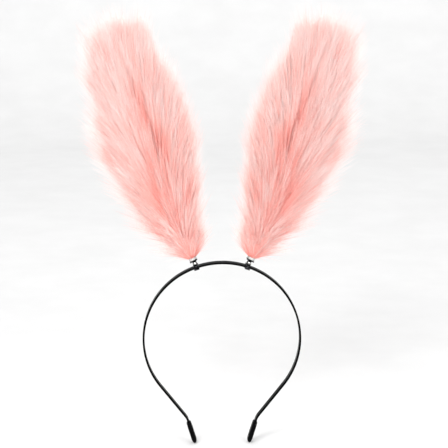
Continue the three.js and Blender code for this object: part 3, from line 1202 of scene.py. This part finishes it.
    def skirt(self, roots: Array, tips: Array) -> tuple[Array, Array]:
        """Stand a share of the strands round the gathered neck, flared over the ferrule.

        Args:
            roots: Rows of distance, across and depth of the roots.
            tips: The same for the tips.

        Returns:
            The new roots and tips.
        """
        rng, n = self.rng, len(tips)
        moved = (rng.random(n) < self.style.collar)[:, None]
        around = rng.uniform(0, np.pi, n)
        cos, sin = np.cos(around), np.sin(around)
        height = rng.uniform(0, 1, n) ** 0.7
        flare = 3.0 + 9.0 * height + rng.uniform(-1.5, 4.5, n)
        half_width, half_depth = self.gathered_neck
        ring = (
            rng.uniform(1.5, 6.0, n),
            half_width * cos,
            self.face.value * half_depth * sin,
        )
        rise, back_in, flat_depth = 20 * height, 5.5 * height, flare * 0.45 * sin
        droop = (
            0.8 + 0.2 * flare * sin + rise,
            flare * cos - back_in,
            self.face.value * (1.0 + flat_depth),
        )
        roots = np.where(moved, np.stack(ring, axis=1), roots)
        return roots, np.where(moved, np.stack(droop, axis=1), tips)

    def keep_in_leaf(self, tips: Array, rim: Array) -> None:
        """Keep the tips above the ferrule and within the ear's outline, which stays ragged.

        Args:
            tips: Tips of the strands, which are changed.
            rim: How close each strand is to the seam, from 0 to 1.
        """
        rng, n, out = self.rng, len(tips), self.face.value
        lowest = self.above_ferrule + 0.28 * np.abs(tips[:, 2]) + rng.uniform(0, 3, n)
        tips[:, 0] = np.clip(tips[:, 0], lowest, self.top + rng.uniform(10, 27, n))
        spare = rng.uniform(5.5, 9.5, n)
        widest = self.tip_size(tips[:, 0], 0) + spare + 5.0 * (tips[:, 0] < 150)
        tips[:, 1] = np.clip(tips[:, 1], -widest, widest)
        tips[:, 2] = out * np.clip(out * tips[:, 2], 0.3 - 5.0 * rim, self.deepest)

    def lay_out(self) -> Follicles:
        """Scatter the roots and point every strand.

        Returns:
            The follicles of this coat.
        """
        rng, style, n = self.rng, self.style, self.style.count
        distance, share = self.scatter()
        panel = (distance - self.neck) / (self.panel_length - self.neck)
        across = share * PANEL_LEAF.at(panel, 0)
        depth = self.face.value * np.sqrt(1 - share**2) * PANEL_LEAF.at(panel, 1)

        full = np.clip(distance / self.full_pile_at, 0, 1) ** 0.8
        length = (self.short_pile + self.added_pile * full) * style.reach
        reach = length * rng.uniform(0.72, 1.12, n)
        closing = np.clip((distance - self.closes_from) / self.closes_over, 0, 1)
        inwards = 1 - closing * rng.uniform(0, 1.25, n)
        lift = rng.uniform(*style.lift, n) * inwards
        offset = across - self.parting(distance)
        gap = self.crevice(distance)
        near = np.exp(-((offset / self.bank_width) ** 2)) * gap
        pushed = share + np.sign(offset) * near * style.parted
        lean = pushed + rng.normal(0, 0.05, n)
        rim = np.clip((np.abs(lean) - 0.55) / 0.4, 0, 1)
        tips = self.tips(distance, lean, reach, lift * (1 - 0.45 * near))

        # Strands on the two banks of an open parting don't share a lock.
        bank = np.sign(offset) * (gap > 0.15) * (style.parted > 0)
        places = np.stack([distance, across, bank], axis=1)
        lock = rng.integers(0, n, style.locks)
        ends = self.lock_ends(distance[lock], pushed[lock], reach[lock], inwards[lock])
        pull = rng.uniform(*style.hold, n)
        tips, lock_of = self.gather(tips, places, ends, places[lock], pull)
        fine = rng.integers(0, n, self.tufts)
        pull = rng.uniform(0.3, 0.8, n)
        tips, fine_of = self.gather(tips, places, tips[fine], places[fine], pull)
        loose = self.ruffle(tips, lean, rim)
        roots, tips = self.skirt(np.stack([distance, across, depth], axis=1), tips)
        self.keep_in_leaf(tips, rim)

        distance, across, _ = roots.T
        root = self.spine.place(*roots.T)
        straight = self.spine.place(*tips.T) - root
        length, zero = np.linalg.norm(straight, axis=1), np.zeros(n)
        beside = self.spine.place(distance, across + 1, zero)
        sideways = beside - self.spine.place(distance, across, zero)
        sideways /= np.linalg.norm(sideways, axis=1)[:, None]
        outwards = np.tile([0.0, float(self.face.value), 0.0], (n, 1))
        bow_across = rng.normal(0, 0.05, n) + 0.07 * lean
        bow_out = rng.uniform(0.05, 0.2, n) * length * (1 - 0.6 * near) * (1 - rim)
        bow = sideways * (-bow_across * length)[:, None] + outwards * bow_out[:, None]
        curl = sideways * (rng.normal(0, 0.014, n) * length)[:, None]
        curl += outwards * (rng.normal(0, 0.012, n) * length)[:, None]

        girth = rng.uniform(*style.girth, n) * MM * np.where(loose, 0.6, 1.0)
        # Painted shade: strands near an open parting get a deeper tint, which stands for the shade
        # in the crevice of the parting.
        furrow_shade = np.exp(-((offset / self.furrow_shade_width) ** 2)) * gap
        tint = rng.normal(0.56, 0.13, style.locks)[lock_of]
        tint = tint + rng.normal(0, 0.2, self.tufts)[fine_of]
        higher = distance / self.panel_length - 0.4
        paler = style.tone + 0.16 * np.clip(lean, 0, 1) + 0.34 * higher
        tint = np.clip(tint + paler - 0.38 * furrow_shade, 0.0, 1.0)
        return Follicles(root, straight + bow, -bow, curl, girth, tint)


@dataclass
class Ear:
    """One fur ear: backing panels, wadding, wire loop and three coats of pile on each face."""

    side: Side
    strands: StrandTree
    materials: Mapping[Slot, Material]
    panel_start: float = 0.6
    panel_length: float = 190.0
    panel_neck: float = 6.0
    cloth: float = 0.5
    pucker: float = 0.03
    filling_start: float = 16.0
    filling_end: float = 182.2
    filling_inset: tuple[float, float] = (3.9, 1.1)
    lump: float = 0.05

    def spine(self) -> Spine:
        """Spine of this ear, from its rivet in the frame."""
        low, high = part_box(f"{self.side.label}_pivot_rivet")
        middle = (low + high) / 2 / MM
        return Spine(self.side, (abs(middle.x), middle.z))

    def leaf(self, distances: Array) -> tuple[Array, Array]:
        """Half-widths and half-depths of the panels at distances along the spine."""
        share = (distances - self.panel_neck) / (self.panel_length - self.panel_neck)
        return PANEL_LEAF.at(share, 0), PANEL_LEAF.at(share, 1)

    def panel(self, face: Face) -> Piece:
        """Build the backing cloth of one face.

        Args:
            face: Which face.

        Returns:
            The piece.
        """
        spine, rows, count = self.spine(), 70, 33
        spacing = 1 - (1 - np.linspace(0, 1, rows)) ** 1.4
        distances = self.panel_start + (self.panel_length - 1.0) * spacing
        angles = np.linspace(0.04, np.pi - 0.04, count)
        grid = []
        for distance, width, height in zip(distances, *self.leaf(distances)):
            pucker = 1 + self.pucker * np.sin(angles * 9 + distance * 0.11)
            depth = face.value * np.maximum(height * np.sin(angles) * pucker - 0.1, 0.2)
            along = np.full_like(angles, distance)
            grid.append(spine.place(along, width * np.cos(angles), depth))
        faces = [
            (k * count + i, k * count + i + 1, (k + 1) * count + i + 1, (k + 1) * count + i)
            for k in range(rows - 1)
            for i in range(count - 1)
        ]
        label = self.side.label
        name = f"{label}_{face.label}_backing"
        piece = add_piece(name, np.concatenate(grid), faces, self.materials[Slot.KNIT])
        self.turn_outwards(piece, face)
        thick = piece.modifiers.new("cloth thickness", "SOLIDIFY")
        thick.thickness = self.cloth * MM
        thick.offset = -1
        girth, area = self.flat_size()
        return fit(piece, f"{label}_{face.label}_panel", f"{label}_ear", Slot.KNIT)

    def flat_size(self) -> tuple[float, float]:
        """Measure a panel before it is stretched: half of an ellipse's girth at each step.

        Returns:
            Its greatest width in millimetres, and its area in square millimetres.
        """
        a, b = self.leaf(np.linspace(self.panel_start, self.panel_length, 400))
        girths = np.pi / 2 * (3 * (a + b) - np.sqrt((3 * a + b) * (a + 3 * b)))
        return float(girths.max()), float(girths.mean() * (self.panel_length - self.panel_start))

    @staticmethod
    def turn_outwards(piece: Piece, face: Face) -> None:
        """Make an open sheet's faces look away from the ear's middle.

        Args:
            piece: The sheet.
            face: Face of the ear that it covers.
        """
        total = sum(p.normal.y * p.area for p in piece.data.polygons)
        if total * face.value < 0:
            piece.data.flip_normals()

    def filling(self) -> Piece:
        """Build the wadding between the panels.

        Returns:
            The piece.
        """
        spine, label = self.spine(), self.side.label
        turns = np.linspace(0.02, np.pi - 0.02, 60)
        span = self.filling_end - self.filling_start
        distances = self.filling_start + span * (1 - np.cos(turns)) / 2
        widths, depths = self.leaf(distances)
        widths = np.maximum(widths - self.filling_inset[0], 0.5) * np.sin(turns) ** 0.35
        depths = np.maximum(depths - self.filling_inset[1], 0.4) * np.sin(turns) ** 0.35
        angles = np.linspace(0, 2 * np.pi, 36, endpoint=False)
        phase = np.random.default_rng(41).uniform(0, 2 * np.pi, 4)
        rings = []
        for distance, width, depth in zip(distances, widths, depths):
            round_wave = np.sin(angles * 3 + distance * 0.09 + phase[0])
            lumps = 1 - self.lump * (1 + round_wave * np.sin(distance * 0.13 + phase[1]))
            across, out = width * np.cos(angles) * lumps, depth * np.sin(angles) * lumps
            rings.append(spine.place(np.full_like(angles, distance), across, out))
        piece = add_piece(f"{label}_wadding", *loft(rings), self.materials[Slot.WADDING])
        return fit(piece, f"{label}_filling", f"{label}_ear", Slot.WADDING)

    def coat(self, face: Face, coat: Pile) -> Piece:
        """Grow one coat of pile on one face.

        Args:
            face: Which face.
            coat: Which coat.

        Returns:
            The piece.
        """
        seed = 11 + 7 * list(Face).index(face) + 3 * coat.value
        style, label = COATS[coat], self.side.label
        rng = np.random.default_rng(seed)
        follicles = FurCoat(self.spine(), face, style, rng).lay_out()
        name = f"{label}_{face.label}_{coat.label}"
        piece = self.strands.grow(name, follicles, style.segments, seed)
        return fit(piece, f"{label}_{face.label}_fur", f"{label}_ear", Slot.PILE)

    def build(self) -> list[Piece]:
        """Build every soft piece of the ear, and dress its wire loop.

        Returns:
            The new pieces.
        """
        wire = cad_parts[f"{self.side.label}_wire_frame"]
        wire.data.materials.clear()
        wire.data.materials.append(self.materials[Slot.WIRE])
        pieces = [self.filling()]
        for face in Face:
            pieces.append(self.panel(face))
            pieces += [self.coat(face, coat) for coat in Pile]
        return pieces


@dataclass
class Fixing:
    """The metal parts that hold one ear: clamp, rivet, tilt plate and crimped ferrule."""

    side: Side
    nickel: Material
    smoked: Material
    edge: float = 0.16
    edge_steps: int = 3

    def build(self) -> list[Piece]:
        """Build the four parts with rounded edges.

        Returns:
            The new pieces.
        """
        label = self.side.label
        parts = [
            ("band_clamp", "clamp", "crown", self.smoked),
            ("pivot_rivet", "rivet", "crown", self.nickel),
            ("tilt_plate", "plate", f"{label}_ear", self.smoked),
            ("neck_ferrule", "ferrule", f"{label}_ear", self.nickel),
        ]
        pieces = []
        for node, name, body, finish in parts:
            piece = from_node(f"{label}_{node}", f"{label}_{name}", finish)
            soften(piece, self.edge, self.edge_steps)
            pieces.append(fit(piece, f"{label}_{node}", body, Slot.NICKEL))
        return pieces


# ---- Studio ----


@dataclass
class Studio:
    """Pale sweep, soft lights and the camera."""

    distance: float = 1.5
    azimuth: float = -2.5
    elevation: float = 12.5
    target: Point = (0.0017, 0.0, 0.033)
    view_width: float = 0.364
    sensor: float = 36.0
    sky: tuple[tuple[float, float], ...] = ((0.0, 0.72), (0.5, 1.0))
    sky_strength: float = 0.92

    def sweep(self, paper: Material) -> None:
        """Lay a seamless sheet under and behind the object.

        Args:
            paper: Finish of the sheet.
        """
        floor_z = CAD_BOX[0].z - 0.5 * MM
        bend, back, front, top, half = 0.8, 1.4, -4.0, 3.6, 5.0
        profile = [(front, floor_z), (back, floor_z)]
        for turn in np.linspace(0, math.pi / 2, 24)[1:]:
            profile.append((back + bend * math.sin(turn), floor_z + bend * (1 - math.cos(turn))))
        profile.append((back + bend, top))
        verts = [(x, y, z) for y, z in profile for x in (-half, half)]
        faces = [(2 * i, 2 * i + 1, 2 * i + 3, 2 * i + 2) for i in range(len(profile) - 1)]
        sheet = add_piece("studio_sweep", verts, faces, paper)

    def lamp(self, name: str, place: Point, size: float, power: float) -> None:
        """Hang a square soft light that faces the object.

        Args:
            name: Name of the light.
            place: Position in metres.
            size: Side of the square.
            power: Power in watts.
        """
        data = bpy.data.lights.new(name, "AREA")
        data.size = size
        data.energy = power
        light = link_object(name, data)
        light.location = place
        way = Vector(self.target) - Vector(place)
        light.rotation_euler = way.to_track_quat("-Z", "Y").to_euler()

    def air(self) -> None:
        """Fill the room with light that is bright from above and dimmer towards the floor."""
        world = bpy.data.worlds.new("studio air")
        bpy.context.scene.world = world
        world.use_nodes = True
        tree = world.node_tree
        way = add_node(tree, "ShaderNodeTexCoord").outputs["Generated"]
        height = add_node(tree, "ShaderNodeSeparateXYZ", {0: way}).outputs["Z"]
        greys = add_node(tree, "ShaderNodeValToRGB", {0: height}, self.sky)
        light = {"Color": greys.outputs["Color"], "Strength": self.sky_strength}
        feed(tree.nodes["Background"], light)

    def camera(self) -> None:
        """Place the camera, level and aimed at the target."""
        turn, rise = math.radians(self.azimuth), math.radians(self.elevation)
        flat = math.cos(rise)
        back = Vector((math.sin(turn) * flat, -math.cos(turn) * flat, math.sin(rise)))
        data = bpy.data.cameras.new("camera")
        data.sensor_width = self.sensor
        data.lens = self.sensor * self.distance / self.view_width
        data.clip_end = 50
        camera = link_object("camera", data)
        camera.location = Vector(self.target) + back * self.distance
        camera.rotation_euler = (-back).to_track_quat("-Z", "Y").to_euler()
        bpy.context.scene.camera = camera

    def build(self, paper: Material) -> None:
        """Set up the whole studio.

        Args:
            paper: Finish of the sweep.
        """
        bpy.context.scene.view_settings.view_transform = "Standard"
        self.camera()
        self.sweep(paper)
        self.lamp("key", (-0.9, -1.9, 1.5), 1.2, 52)
        self.lamp("fill", (1.3, -1.9, 0.8), 1.6, 38)
        self.lamp("rim", (0.3, 1.2, 1.9), 1.4, 6)
        self.air()


def main() -> None:
    """Build the studio and every piece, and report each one."""
    logging.basicConfig(level=logging.INFO, format="%(name)s: %(message)s")
    Studio().build(PAPER.build())
    finishes: dict[Slot, Any] = {
        Slot.LACQUER: LACQUER,
        Slot.CAP: DIPPED,
        Slot.NICKEL: NICKEL,
        Slot.WIRE: GALVANISED,
        Slot.KNIT: KnitFinish(),
        Slot.WADDING: WADDING,
        Slot.PILE: PileFinish(),
    }
    materials = {slot: finish.build() for slot, finish in finishes.items()}
    smoked = SMOKED_NICKEL.build()
    strands = StrandTree(materials[Slot.PILE])
    strip = BandStrip()
    cap = TipCap(strip)
    for side in Side:
        pieces = [strip.half(side, materials[Slot.LACQUER])]
        pieces.append(cap.build(side, materials[Slot.CAP]))
        pieces += Fixing(side, materials[Slot.NICKEL], smoked).build()
        pieces += Ear(side, strands, materials).build()
        for piece in pieces:
            LOG.info("%s: %d faces", piece.name, len(piece.data.polygons))


if __name__ == "__main__":
    main()
